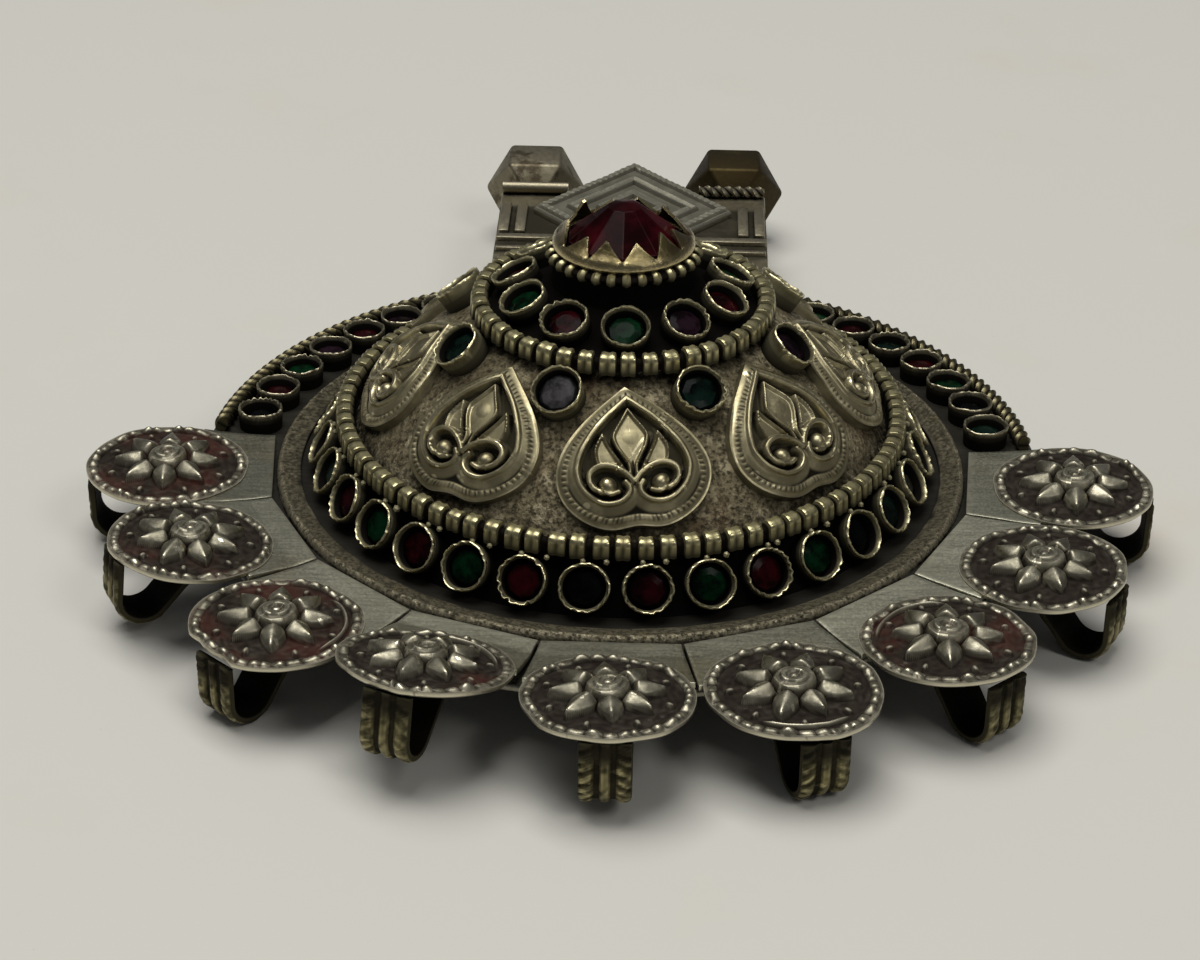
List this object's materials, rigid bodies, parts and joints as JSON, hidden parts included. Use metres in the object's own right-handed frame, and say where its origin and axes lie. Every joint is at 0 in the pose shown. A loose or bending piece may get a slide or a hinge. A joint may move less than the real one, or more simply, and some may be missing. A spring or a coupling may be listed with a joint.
{
  "type": "pendant",
  "caption": "Domed metal pendant with glass-set collets, heart plaques, a fan of rosette tabs with strap loops, and a block bail with knobs.",
  "frame": {"origin": "middle of the pendant's length and width, on the surface that it lies on", "axes": "+Z from the back to the finial, +Y from the fan of tabs to the bail, +X to the right seen from the tabs"},
  "size_m": [0.1052, 0.1278, 0.0347],
  "materials": {
    "sheet_metal": "dull, darkened low-grade silver sheet",
    "dark_silver": "worn silver with black in its hollows",
    "bright_wire": "warm yellowish silver, bright on its high spots",
    "black_ground": "blackened, oxidised ground",
    "dome_ground": "granular, oxidised ground",
    "cast_plaque": "cast relief, bright edges, dark hollows",
    "tab_pewter": "grey brushed sheet with reddish residue in the discs",
    "loop_brass": "worn ribbed strap with dark grooves",
    "bezel_brass": "polished by wear, warm",
    "grey_plate": "greenish grey stamped sheet",
    "knob_bronze": "dark bronze facets with olive edges",
    "red_glass": "deep red cut glass, slightly worn",
    "collar_glass": "cut glass in dark green and red by turns",
    "dome_glass": "cut glass in dark green, grey and purple",
    "upper_glass": "cut glass in green and red by turns",
    "rim_glass": "cut glass in red, green, black and purple"
  },
  "bodies": {
    "root": {"base_plate": "sheet_metal", "border_ring": "dark_silver", "rim_wire_left": "bright_wire", "rim_wire_right": "bright_wire", "rim_collets": "bright_wire", "rim_stones": "rim_glass", "collar": "black_ground", "collar_stones": "collar_glass", "shoulder_ring": "bright_wire", "dome": "dome_ground", "middle_stones": "dome_glass", "upper_ring": "bright_wire", "upper_tier": "black_ground", "upper_stones": "upper_glass", "finial_ring": "bright_wire", "finial_bezel": "bezel_brass", "finial_stone": "red_glass", "bail_box": "dark_silver", "diamond_plate": "grey_plate", "edge_wire_left": "bright_wire", "edge_wire_right": "bright_wire", "knob_left": "knob_bronze", "knob_right": "knob_bronze", "heart_1": "cast_plaque", "heart_2": "cast_plaque", "heart_3": "cast_plaque", "heart_4": "cast_plaque", "heart_5": "cast_plaque", "heart_6": "cast_plaque", "heart_7": "cast_plaque", "heart_8": "cast_plaque", "tab_1": "tab_pewter", "tab_2": "tab_pewter", "tab_3": "tab_pewter", "tab_4": "tab_pewter", "tab_5": "tab_pewter", "tab_6": "tab_pewter", "tab_7": "tab_pewter", "tab_8": "tab_pewter", "tab_9": "tab_pewter", "loop_1": "loop_brass", "loop_2": "loop_brass", "loop_3": "loop_brass", "loop_4": "loop_brass", "loop_5": "loop_brass", "loop_6": "loop_brass", "loop_7": "loop_brass", "loop_8": "loop_brass", "loop_9": "loop_brass"}
  },
  "joints": []
}
